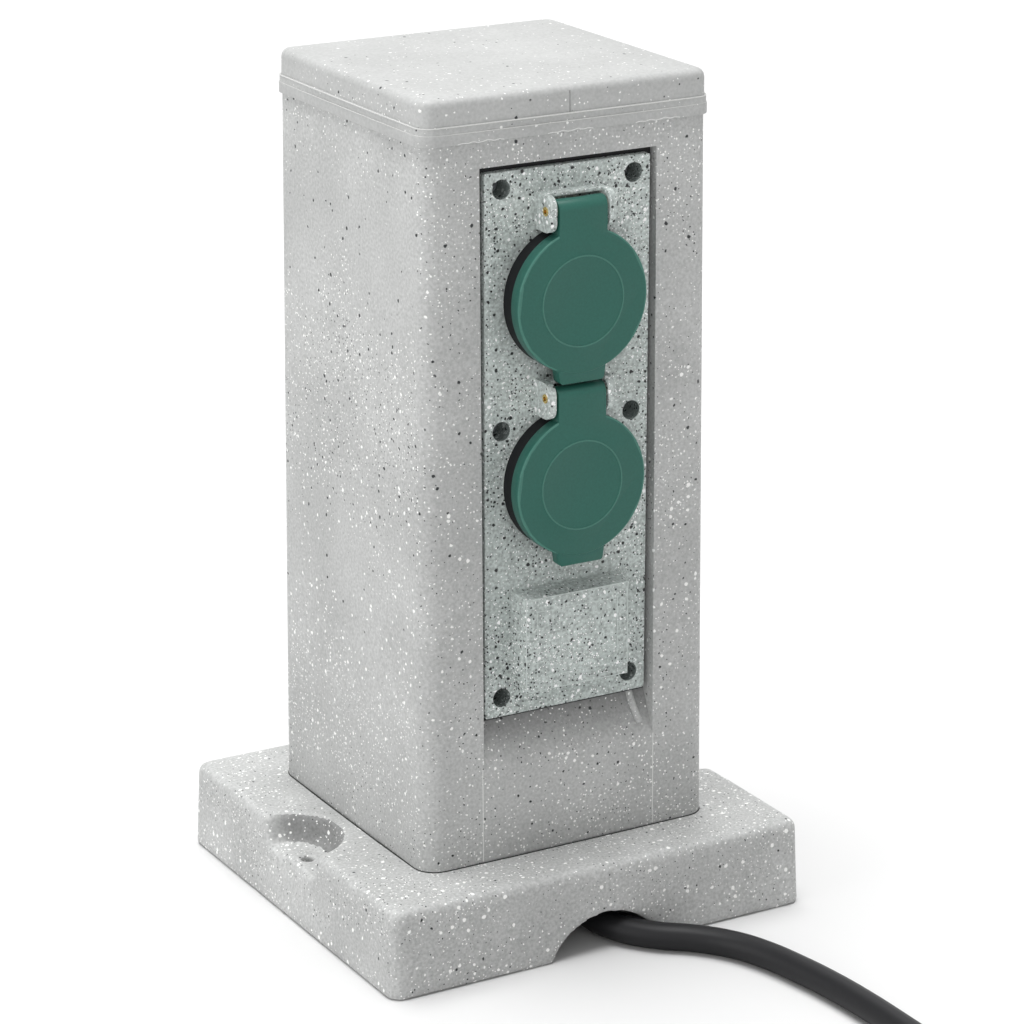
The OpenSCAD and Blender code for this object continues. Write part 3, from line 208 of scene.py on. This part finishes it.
def flecked_plastic(name, base, shade, white, dark, flecks, roughness, grain, painted_shade=None):
    """Plastic with granite flecks: clouds between two base colours, fine grain, then flecks.

    flecks holds (colour, cell, smallest radius, largest radius, share of cells), in millimetres.
    The last argument holds (axis, unshaded place, darkest place, tone left), for painted shade
    that deepens between those places, in millimetres from the middle."""
    material, tree, shader, place = new_material(name, Roughness=roughness, IOR=1.51)
    clouds = add_node(tree, "ShaderNodeTexNoise", inputs={
        "Vector": place, "Scale": 1000 / CLOUD, "Detail": 3.0})
    cloud_mix = add_node(tree, "ShaderNodeMapRange", inputs={
        "Value": clouds.outputs["Fac"], "From Min": 0.35, "From Max": 0.65})
    ground = add_node(tree, "ShaderNodeMix", {"data_type": "RGBA"}, {
        "Factor": cloud_mix.outputs["Result"], "A": linear(shade), "B": linear(base)})
    fine = add_node(tree, "ShaderNodeTexNoise", inputs={
        "Vector": place, "Scale": 1000 / FINE_GRAIN, "Detail": 2.0})
    fine_mix = add_node(tree, "ShaderNodeMapRange", inputs={
        "Value": fine.outputs["Fac"], "From Min": 0.3, "From Max": 0.7,
        "To Min": 1 - grain, "To Max": 1 + grain})
    ground = add_node(tree, "ShaderNodeVectorMath", {"operation": "SCALE"}, {
        0: ground.outputs["Result"], "Scale": fine_mix.outputs["Result"]})
    # Painted shade: the colour darkens towards one place along an axis
    if painted_shade:
        axis, unshaded, darkest, tone_left = painted_shade
        along = add_node(tree, "ShaderNodeSeparateXYZ", inputs={"Vector": place})
        reach = add_node(tree, "ShaderNodeMath", {"operation": "ABSOLUTE"},
                         {0: along.outputs[axis]})
        shading = add_node(tree, "ShaderNodeMapRange", {"interpolation_type": "SMOOTHSTEP"}, {
            "Value": reach.outputs["Value"], "From Min": unshaded * MM, "From Max": darkest * MM,
            "To Min": 1.0, "To Max": tone_left})
        ground = add_node(tree, "ShaderNodeVectorMath", {"operation": "SCALE"}, {
            0: ground.outputs["Vector"], "Scale": shading.outputs["Result"]})
    colour = ground.outputs["Vector"]
    warp = add_node(tree, "ShaderNodeTexNoise", inputs={
        "Vector": place, "Scale": 1000 / UNEVEN_EDGE})
    warped = add_node(tree, "ShaderNodeVectorMath", {"operation": "MULTIPLY_ADD"}, {
        0: warp.outputs["Color"], 1: [UNEVEN_REACH * MM] * 3, 2: place})
    drift = add_node(tree, "ShaderNodeTexNoise", inputs={"Vector": place, "Scale": 1000 / CROWD})
    crowd = add_node(tree, "ShaderNodeMapRange", inputs={
        "Value": drift.outputs["Fac"], "From Min": 0.36, "From Max": 0.64,
        "To Min": CROWD_RANGE[0], "To Max": CROWD_RANGE[1]})
    for seed, (tone, cell, smallest, largest, share) in enumerate(flecks, start=1):
        mask = fleck_mask(tree, warped.outputs["Vector"], cell, smallest, largest, share,
                          crowd.outputs["Result"], seed)
        layer = add_node(tree, "ShaderNodeMix", {"data_type": "RGBA"}, {
            "Factor": mask, "A": colour, "B": linear(white if tone == "white" else dark)})
        colour = layer.outputs["Result"]
    tree.links.new(colour, shader.inputs["Base Color"])
    swell = add_node(tree, "ShaderNodeTexNoise", inputs={"Vector": place, "Scale": 1000 / SWELL})
    height = add_node(tree, "ShaderNodeMath", {"operation": "MULTIPLY_ADD"}, {
        0: fine.outputs["Fac"], 1: 0.12, 2: swell.outputs["Fac"]})
    bump = add_node(tree, "ShaderNodeBump", inputs={
        "Height": height.outputs["Value"], "Strength": 0.3, "Distance": 0.6 * MM})
    tree.links.new(bump.outputs["Normal"], shader.inputs["Normal"])
    return material


def satin_plastic(name, colour, roughness, grain=0.8, depth=0.02, spec=0.5):
    """Moulded plastic or rubber with a fine die texture: grain and depth in millimetres."""
    material, tree, shader, place = new_material(name, Roughness=roughness, IOR=1.5)
    shader.inputs["Specular IOR Level"].default_value = spec
    fine = add_node(tree, "ShaderNodeTexNoise", inputs={
        "Vector": place, "Scale": 1000 / grain, "Detail": 3.0})
    tint = add_node(tree, "ShaderNodeMapRange", inputs={
        "Value": fine.outputs["Fac"], "From Min": 0.3, "From Max": 0.7,
        "To Min": 0.94, "To Max": 1.06})
    shaded = add_node(tree, "ShaderNodeVectorMath", {"operation": "SCALE"}, {
        0: linear(colour)[:3], "Scale": tint.outputs["Result"]})
    tree.links.new(shaded.outputs["Vector"], shader.inputs["Base Color"])
    bump = add_node(tree, "ShaderNodeBump", inputs={
        "Height": fine.outputs["Fac"], "Strength": 0.5, "Distance": depth * MM})
    tree.links.new(bump.outputs["Normal"], shader.inputs["Normal"])
    return material


def plain_metal(name, colour, roughness, grain):
    """Metal with a fine uneven surface: grain in millimetres."""
    material, tree, shader, place = new_material(name, Metallic=1.0)
    fine = add_node(tree, "ShaderNodeTexNoise", inputs={
        "Vector": place, "Scale": 1000 / grain, "Detail": 2.0})
    polish = add_node(tree, "ShaderNodeMapRange", inputs={
        "Value": fine.outputs["Fac"], "From Min": 0.3, "From Max": 0.7,
        "To Min": roughness - 0.08, "To Max": roughness + 0.08})
    tint = add_node(tree, "ShaderNodeMix", {"data_type": "RGBA"}, {
        "Factor": fine.outputs["Fac"], "A": [c * 0.85 for c in linear(colour)[:3]] + [1],
        "B": linear(colour)})
    tree.links.new(tint.outputs["Result"], shader.inputs["Base Color"])
    tree.links.new(polish.outputs["Result"], shader.inputs["Roughness"])
    return material


# Rotation-moulded polyethylene with granite flecks: matt, slightly cloudy, edges soft
SHELL_FLECKS = [
    ("white", 1.3, 0.2, 0.44, 0.48),
    ("dark", 1.6, 0.2, 0.38, 0.3),
    ("white", 3.6, 0.45, 0.85, 0.36),
    ("dark", 4.6, 0.45, 0.85, 0.36)]
# The cap's batch of the same granulate, with few flecks
CAP_FLECKS = [
    ("white", 1.8, 0.2, 0.42, 0.4),
    ("dark", 2.4, 0.2, 0.4, 0.25),
    ("white", 4.2, 0.4, 0.75, 0.35),
    ("dark", 6.0, 0.4, 0.8, 0.35)]
# The base's batch, with crowded flecks
BASE_FLECKS = [
    ("white", 1.3, 0.2, 0.44, 0.5),
    ("dark", 1.6, 0.2, 0.38, 0.36),
    ("white", 3.3, 0.42, 0.95, 0.42),
    ("dark", 5.0, 0.4, 0.7, 0.3)]
# Injection-moulded polypropylene, crowded with fine light and dark flecks
PLATE_FLECKS = [
    ("white", 1.0, 0.2, 0.38, 0.62),
    ("dark", 1.4, 0.22, 0.5, 0.56),
    ("white", 2.6, 0.4, 0.85, 0.5),
    ("dark", 3.4, 0.45, 0.85, 0.55)]

granite_polyethylene = flecked_plastic(
    "granite_polyethylene", "#b8b9b8", "#adaead", "#f6f6f4", "#202224", SHELL_FLECKS, 0.6, 0.15)
# The same on the ramp under the socket plate, with painted shade that deepens towards the top,
# where the plate overhangs
ramp_shade_polyethylene = flecked_plastic(
    "ramp_shade_polyethylene", "#b8b9b8", "#adaead", "#f0f0ee", "#202224", SHELL_FLECKS, 0.65, 0.15,
    painted_shade=("Z", 67, 86, 0.47))
# The cap's, with few flecks and a smoother skin
smooth_polyethylene = flecked_plastic(
    "smooth_polyethylene", "#b3b4b3", "#abacab", "#eeeeec", "#222426", CAP_FLECKS, 0.55, 0.08)
# The base's, with crowded flecks and a coarser skin
coarse_polyethylene = flecked_plastic(
    "coarse_polyethylene", "#b8b9b8", "#abacab", "#f6f6f4", "#242628", BASE_FLECKS, 0.6, 0.18)
# The same on the walls of the base's scoops, with painted shade that deepens towards the deepest
# part
scoop_shade_polyethylene = flecked_plastic(
    "scoop_shade_polyethylene", "#b8b9b8", "#abacab", "#f6f6f4", "#242628", BASE_FLECKS, 0.65, 0.18,
    painted_shade=("X", 84, 74, 0.5))
# The socket plate's: satin, greenish, its flecks almost white and almost black
granite_polypropylene = flecked_plastic(
    "granite_polypropylene", "#bcc4c1", "#aab2af", "#ffffff", "#060809", PLATE_FLECKS, 0.5, 0.34)
# The same, paler: painted highlight on lit edges
edge_highlight_polypropylene = satin_plastic("edge_highlight_polypropylene", "#c5cdca", 0.5)
# The same, darker: painted shade deep in the screw wells
well_shade_polypropylene = flecked_plastic(
    "well_shade_polypropylene", "#7c8482", "#656c6a", "#b4bab8", "#0a0c0e", PLATE_FLECKS, 0.7, 0.3)
# Injection-moulded polypropylene, dark green, satin
green_polypropylene = satin_plastic("green_polypropylene", "#2b6055", 0.42, spec=0.3)
# The same, paler: painted highlight on a raised line and a lit edge
lid_highlight_polypropylene = satin_plastic("lid_highlight_polypropylene", "#43766a", 0.38, spec=0.3)
# Polyethylene stretched thin where two mould halves meet, whitened
flash_polyethylene = satin_plastic("flash_polyethylene", "#d9dad8", 0.55)
# Dark, dead matt: painted shadow in a joint between parts
joint_shadow = satin_plastic("joint_shadow", "#3c3d3c", 0.9, spec=0.1)
# Polyethylene, paler: painted highlight on an edge
band_highlight_polyethylene = satin_plastic("band_highlight_polyethylene", "#c9cac8", 0.5)
# Polyethylene, darker grey and matt, in a fine line
grey_line_polyethylene = satin_plastic("grey_line_polyethylene", "#979897", 0.8, spec=0.2)
# Glass-filled nylon, black, matt
black_nylon = satin_plastic("black_nylon", "#1b1c1e", 0.6, spec=0.15)
# Rubber-sheathed flexible cord, black, low sheen
black_rubber = satin_plastic("black_rubber", "#1b1b1d", 0.45, grain=1.5, depth=0.03, spec=0.25)
# Injection-moulded ABS inside the pillar: off-white, satin
white_abs = satin_plastic("white_abs", "#dcdcd4", 0.45)
# Extruded PVC sleeves of the wires: smooth, a little shiny
brown_pvc = satin_plastic("brown_pvc", "#6b4226", 0.35)
blue_pvc = satin_plastic("blue_pvc", "#2f5fa8", 0.35)
green_pvc = satin_plastic("green_pvc", "#8fae3c", 0.35)
# Pressed brass: bright yellow, with a soft gloss
pressed_brass = plain_metal("pressed_brass", "#f7d98a", 0.25, 0.6)
# Zinc-plated steel: bluish grey, its gloss uneven
zinc_plated_steel = plain_metal("zinc_plated_steel", "#b9bcc0", 0.38, 0.5)
# Nickel-plated brass: warm grey, glossy
nickel_plated_brass = plain_metal("nickel_plated_brass", "#c8c8c4", 0.25, 0.8)

FINISHES = {
    "granite_plastic": granite_polyethylene, "plate_plastic": granite_polypropylene,
    "lid_plastic": green_polypropylene, "black_plastic": black_nylon,
    "black_rubber": black_rubber, "white_plastic": white_abs, "brass": pressed_brass,
    "zinc_steel": zinc_plated_steel, "nickel_brass": nickel_plated_brass,
    "brown_sleeve": brown_pvc, "blue_sleeve": blue_pvc, "green_sleeve": green_pvc}
slot_of = {part["node"]: part["material_slot"] for part in frame["record"]["subparts"]}
body_of = {node: body for body, members in frame["record"]["behaviour"]["bodies"].items()
           for node in members}


def dress(piece, slot):
    """Gives a piece the finish of that material slot."""
    piece.data.materials.clear()
    piece.data.materials.append(FINISHES[slot])


for name, node in cad.items():
    dress(node, slot_of[name])


def finish_mesh(bm, name, sharp=35):
    """Turns a bmesh into a piece, smooth but for edges sharper than that angle."""
    for face in bm.faces:
        face.smooth = True
    for edge in bm.edges:
        edge.smooth = len(edge.link_faces) != 2 or edge.calc_face_angle(0) < math.radians(sharp)
    mesh = bpy.data.meshes.new(name)
    bm.to_mesh(mesh)
    bm.free()
    piece = bpy.data.objects.new(name, mesh)
    bpy.context.scene.collection.objects.link(piece)
    return piece


def merged_copy(node):
    """The node's mesh as one closed surface with flat faces whole."""
    bm = bmesh.new()
    bm.from_mesh(cad[node].data)
    bmesh.ops.remove_doubles(bm, verts=bm.verts, dist=0.03 * MM)
    bmesh.ops.dissolve_limit(bm, angle_limit=math.radians(1), verts=bm.verts, edges=bm.edges)
    return bm


def take_place(piece, node):
    """A piece that stands for a node takes its finish and its body."""
    dress(piece, slot_of[node])
    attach(piece, body_of[node])
    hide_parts(node)


def softened(node, name, width):
    """Stands for a node with its corners of over 30 degrees rounded by width, in millimetres."""
    bm = merged_copy(node)
    edges = [e for e in bm.edges
             if len(e.link_faces) == 2 and e.calc_face_angle(0) > math.radians(30)]
    bmesh.ops.bevel(bm, geom=edges, offset=width * MM, segments=2, profile=0.5,
                    affect="EDGES", material=-1, clamp_overlap=True)
    piece = finish_mesh(bm, name)
    take_place(piece, node)
    return piece


dress(lead, "black_rubber")
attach(lead, "root")
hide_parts("cord", "cord_coil")
plug = softened("plug_body", "lead_plug", 0.6)


def beside(vert, x, y, radius):
    """Whether a vertex lies within radius of an upright axis, in millimetres."""
    return (vert.co.xy - point(x, y, 0).xy).length < radius * MM


def relax(bm, verts, rounds):
    """Evens out those vertices that many times, so that edges between them turn round."""
    for turn in range(rounds):
        bmesh.ops.smooth_vert(bm, verts=verts, factor=0.5, use_axis_x=True, use_axis_y=True,
                              use_axis_z=True)


# The lowest part of a moulded skin stays as it is, so that it stands flat
KEPT_FOOT = 3


def moulded(node, name, voxel, rounds, soft_places, kept):
    """A node's shape as a fine skin, relaxed so that its edges turn round, in a bmesh.

    It stays as it is within kept (x, y, radius) of an upright axis, and is relaxed further
    within soft_places (x, y, radius, rounds), all in millimetres."""
    sharp = finish_mesh(merged_copy(node), name)
    skin = sharp.modifiers.new("skin", "REMESH")
    skin.mode = "VOXEL"
    skin.voxel_size = voxel * MM
    graph = bpy.context.evaluated_depsgraph_get()
    mesh = bpy.data.meshes.new_from_object(sharp.evaluated_get(graph))
    bpy.data.objects.remove(sharp)
    bm = bmesh.new()
    bm.from_mesh(mesh)
    bpy.data.meshes.remove(mesh)
    free = [v for v in bm.verts if v.co.z > KEPT_FOOT * MM
            and not any(beside(v, x, y, radius) for x, y, radius in kept)]
    relax(bm, free, rounds)
    for x, y, radius, more in soft_places:
        relax(bm, [v for v in free if beside(v, x, y, radius)], more)
    return bm


def dent(bm, x, y, z, radius, depth):
    """Sinks the skin by depth at a place, fading over radius, all in millimetres."""
    middle = point(x, y, z)
    for vert in bm.verts:
        reach = (vert.co - middle).length / (radius * MM)
        if reach < 1:
            vert.co -= vert.normal * depth * MM * (1 - reach * reach) ** 2


# Column, with painted shade on the ramp under the socket plate, and its cap
RAMP_HALF_W = 36
RAMP_LOW = 68
RAMP_TOP = 88
column = softened("column_shell", "column", 0.8)
column.data.materials.append(ramp_shade_polyethylene)
for face in column.data.polygons:
    middle = face.center / MM
    on_ramp = abs(middle.x) < RAMP_HALF_W and RAMP_LOW < middle.z < RAMP_TOP
    if on_ramp and face.normal.y < -0.5 and face.normal.z > 0.2:
        face.material_index = 1

pillar_cap = softened("cap", "pillar_cap", 0.25)
pillar_cap.data.materials[0] = smooth_polyethylene


def corners_of(piece, face):
    """A face's corners, in millimetres."""
    return [piece.data.vertices[i].co / MM for i in face.vertices]


# Socket plate, with painted shade inside its six screw wells
PLATE_FACE = -54.2
WELL_X = 26.3
WELL_ZS = (278.4, 192.5, 93.6)
WELL_R = 5.1
front_plate = softened("socket_plate", "front_plate", 0.3)
front_plate.data.materials.append(well_shade_polypropylene)
for face in front_plate.data.polygons:
    corners = corners_of(front_plate, face)
    in_well = all(min(math.hypot(abs(c.x) - WELL_X, c.z - z) for z in WELL_ZS) < WELL_R + 0.15
                  for c in corners)
    front = min(c.y for c in corners)
    on_wall = front > PLATE_FACE - 0.1 and face.normal.y > -0.3
    on_floor = front > PLATE_FACE + 2
    if in_well and (on_wall or on_floor):
        face.material_index = 1

# Base: soft scoops and flutes, with shallow dents from the mould beside them.
# A dent is (x on the right, y, z, radius, depth), and has its like on the left
SCOOP_X = 86
SCOOP_SOFT_R = 34
SCOOP_WALL_R = 22.5
SCOOP_WALL_X = 83
SCOOP_WALL_LOW = 21.5
SCOOP_WALL_TOP = 32.6
ANCHOR_X = 77.5
ANCHOR_KEPT_R = 3.9
DENTS = [(77.5, 31, 33, 13, 1.3), (72, -29, 33, 11, 1.0), (71, 4, 28, 9, 1.2),
         (86, -24, 16, 14, 1.0), (86, 27, 14, 16, 0.9)]
base_skin = moulded("base_plate", "base", voxel=1.2, rounds=3,
                    soft_places=[(side * SCOOP_X, 0, SCOOP_SOFT_R, 5) for side in (-1, 1)],
                    kept=[(side * ANCHOR_X, 0, ANCHOR_KEPT_R) for side in (-1, 1)])
for side in (-1, 1):
    for x, y, z, radius, depth in DENTS:
        dent(base_skin, side * x, y, z, radius, depth)
base = finish_mesh(base_skin, "base", sharp=60)
take_place(base, "base_plate")
base.data.materials[0] = coarse_polyethylene
# Painted shade on the walls of the scoops
base.data.materials.append(scoop_shade_polyethylene)
for face in base.data.polygons:
    middle = face.center / MM
    in_scoop = (math.hypot(abs(middle.x) - SCOOP_X, middle.y) < SCOOP_WALL_R
                and abs(middle.x) < SCOOP_WALL_X)
    if in_scoop and SCOOP_WALL_LOW < middle.z < SCOOP_WALL_TOP and face.normal.z < 0.85:
        face.material_index = 1

# Lids, with painted highlight on the raised ring and along the edge of the front
RING_R = 15.8
RING_W = 0.5
LID_R = 25.8
LID_EDGE_R = 0.7
TAB_HALF_W = 9.5
SOCKET_ZS = {"upper": 238.3, "lower": 171.9}
LID_FACE = -65.0


def takes_lid_highlight(corners, z):
    """Whether a face with those corners lies on the raised ring or the front's edge, where
    highlight is painted.

    z is the lid's middle, in millimetres as the corners are."""
    reach = [math.hypot(c.x, c.z - z) for c in corners]
    back = max(c.y for c in corners)
    on_ring = min(reach) > RING_R - 0.4 and max(reach) < RING_R + RING_W + 0.4 and back < LID_FACE
    on_edge = (min(reach) > LID_R - LID_EDGE_R - 0.2 and LID_FACE < back < LID_FACE + 0.6
               and max(reach) < LID_R + 0.1 and min(abs(c.x) for c in corners) > TAB_HALF_W)
    return on_ring or on_edge


for level, z in SOCKET_ZS.items():
    cover = softened(f"{level}_lid", f"{level}_cover", 0.25)
    cover.data.materials.append(lid_highlight_polypropylene)
    for face in cover.data.polygons:
        if takes_lid_highlight(corners_of(cover, face), z):
            face.material_index = 1


def trace(name, points, diameter, finish):
    """A thin raised line on the pillar, such as moulding flash, through points in millimetres."""
    line = curve_tube(name, points, diameter, sides=2, steps=3)
    line.data.materials.append(finish)
    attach(line, "root")


# The column's front leans back from its foot to its top
FRONT_Y = -57.5
FRONT_LEAN = 2.7
COLUMN_FOOT = 33
COLUMN_H = 263


def column_front(z):
    """Y of the column's front at that height, in millimetres."""
    return FRONT_Y + FRONT_LEAN * (z - COLUMN_FOOT) / COLUMN_H


def around(half_x, half_y, corner, z):
    """Points of a closed line round the pillar, its corners rounded, in millimetres."""
    line = []
    for quarter, (side_x, side_y) in enumerate(((1, 1), (-1, 1), (-1, -1), (1, -1))):
        for step in range(5):
            angle = math.radians(90 * quarter + 22.5 * step)
            line.append((side_x * (half_x - corner) + corner * math.cos(angle),
                         side_y * (half_y - corner) + corner * math.sin(angle), z))
    return line + line[:1]


# Flash that runs from the recess's corners down to the foot
FLASH_D = 0.42
for side, x in (("left", -35.7), ("right", 35.4)):
    trace(f"flash_{side}", [(x, column_front(z) + 0.05, z) for z in (33.6, 45, 57, 69)],
          FLASH_D, flash_polyethylene)

# The cap's band: painted highlight along its two edges, and ragged flash where its front snaps in
BAND_LOW = 296
BAND_STEP_Z = 299.9
BAND_TOP = 302.4
BAND_X = 57.3
BAND_Y = 55.3
BAND_CORNER = 5.9
BAND_FRONT = -55.85
trace("band_edge", around(BAND_X + 0.1, BAND_Y + 0.1, BAND_CORNER, BAND_TOP - 0.1), 0.5,
      band_highlight_polyethylene)
trace("band_step", around(BAND_X + 0.3, BAND_Y + 0.3, BAND_CORNER, BAND_STEP_Z - 0.1), 0.36,
      band_highlight_polyethylene)
RAGGED = (0.0, 0.3, 0.1, 0.5, 0.05, 0.2, 0.6, 0.1, 0.35, 0.0)
RAGGED_STEP = 2
for side, x in (("left", -35), ("middle", 0), ("right", 35)):
    start = x - RAGGED_STEP * (len(RAGGED) - 1) / 2
    ragged = [(start + RAGGED_STEP * i, BAND_FRONT + 0.15, BAND_LOW + 0.15 + rise)
              for i, rise in enumerate(RAGGED)]
    trace(f"snap_flash_{side}", ragged, FLASH_D, flash_polyethylene)


def highlight_edges(name, half_w, low, high, y, diameter):
    """Painted highlight lines on the four edges of a rectangle on the socket plate, in
    millimetres.
    """
    corners = [(-half_w, y, low), (half_w, y, low), (half_w, y, high), (-half_w, y, high)]
    for i, side in enumerate(("low", "right", "top", "left")):
        trace(f"{name}_{side}", [corners[i], corners[(i + 1) % 4]], diameter, edge_highlight_polypropylene)


# The raised block of the socket plate, and the field sunk in its face, with painted highlight
# lines on their edges
BLOCK_FACE = -62.4
highlight_edges("block_edge", 20.8, 97, 131.6, BLOCK_FACE + 0.1, 0.36)
highlight_edges("field_edge", 16.5, 102, 126.6, BLOCK_FACE + 0.1, 0.32)

# Painted shadow in the joints at the column's foot and under the socket plate
FOOT_X = 59.5
FOOT_Y = 57.5
FOOT_CORNER = 8.4
trace("foot_joint", around(FOOT_X, FOOT_Y, FOOT_CORNER, 33.05), 0.55, joint_shadow)
trace("plate_foot_joint", [(x, PLATE_FACE + 1.0, 86.3) for x in (-33, -11, 11, 33)], 1.2,
      joint_shadow)

# Mould line down the middle of the cap's front, darker grey
trace("cap_mould_line", [(0.3, -54.62, 310), (0.3, -54.72, 306.5), (0.3, -54.8, 302.6)], 0.5,
      grey_line_polyethylene)

# Short rib on the ramp under the plate's right corner
RIB_POINTS = [(28.6, -50.4, 85.0), (28.9, -51.9, 81.5), (29.5, -53.5, 78), (30.6, -55.3, 73.5)]
RIB_D = 2.8
trace("ramp_rib", RIB_POINTS, RIB_D, granite_polyethylene)


# Studio: even light from all round, and suns as (name, direction, strength, angle in degrees)
SOFT_LIGHT = 0.38
SUNS = [("overhead", (-0.02, 0.12, 0.99), 1.12, 45),
        ("left_side", (-1, 0.08, 0.2), 0.345, 50),
        ("front", (-0.3, -0.9, 0.3), 0.12, 60)]


def add_stage():
    """A pale floor."""
    bm = bmesh.new()
    bmesh.ops.create_grid(bm, x_segments=1, y_segments=1, size=6)
    floor = finish_mesh(bm, "floor")
    material, tree, shader, place = new_material("floor_paint", Roughness=0.9)
    shader.inputs["Base Color"].default_value = linear("#d8d8d8")
    floor.data.materials.append(material)


def add_sun(name, towards, strength, angle):
    """A soft sun in the direction towards, its strength as light falls on a facing white sheet."""
    sun = bpy.data.objects.new(name, bpy.data.lights.new(name, "SUN"))
    sun.data.energy = strength * math.pi
    sun.data.angle = math.radians(angle)
    sun.rotation_euler = Vector(towards).to_track_quat("Z", "Y").to_euler()
    bpy.context.scene.collection.objects.link(sun)


def light_studio():
    """The suns, and a world that gives soft light and shows white to camera, metal and glass."""
    world = bpy.data.worlds.new("studio")
    bpy.context.scene.world = world
    world.use_nodes = True
    tree = world.node_tree
    tree.nodes.clear()
    ray = add_node(tree, "ShaderNodeLightPath")
    soft = add_node(tree, "ShaderNodeBackground", inputs={
        "Color": (1, 1, 1, 1), "Strength": SOFT_LIGHT})
    white = add_node(tree, "ShaderNodeBackground", inputs={"Color": (1, 1, 1, 1), "Strength": 1.0})
    seen = add_node(tree, "ShaderNodeMath", {"operation": "MAXIMUM"},
                    {0: ray.outputs["Is Camera Ray"], 1: ray.outputs["Is Glossy Ray"]})
    seen = add_node(tree, "ShaderNodeMath", {"operation": "MAXIMUM"},
                    {0: seen.outputs["Value"], 1: ray.outputs["Is Transmission Ray"]})
    either = add_node(tree, "ShaderNodeMixShader", inputs={
        0: seen.outputs["Value"], 1: soft.outputs["Background"],
        2: white.outputs["Background"]})
    add_node(tree, "ShaderNodeOutputWorld", inputs={"Surface": either.outputs["Shader"]})
    for sun in SUNS:
        add_sun(*sun)


add_stage()
light_studio()
bpy.context.scene.view_settings.view_transform = "Standard"
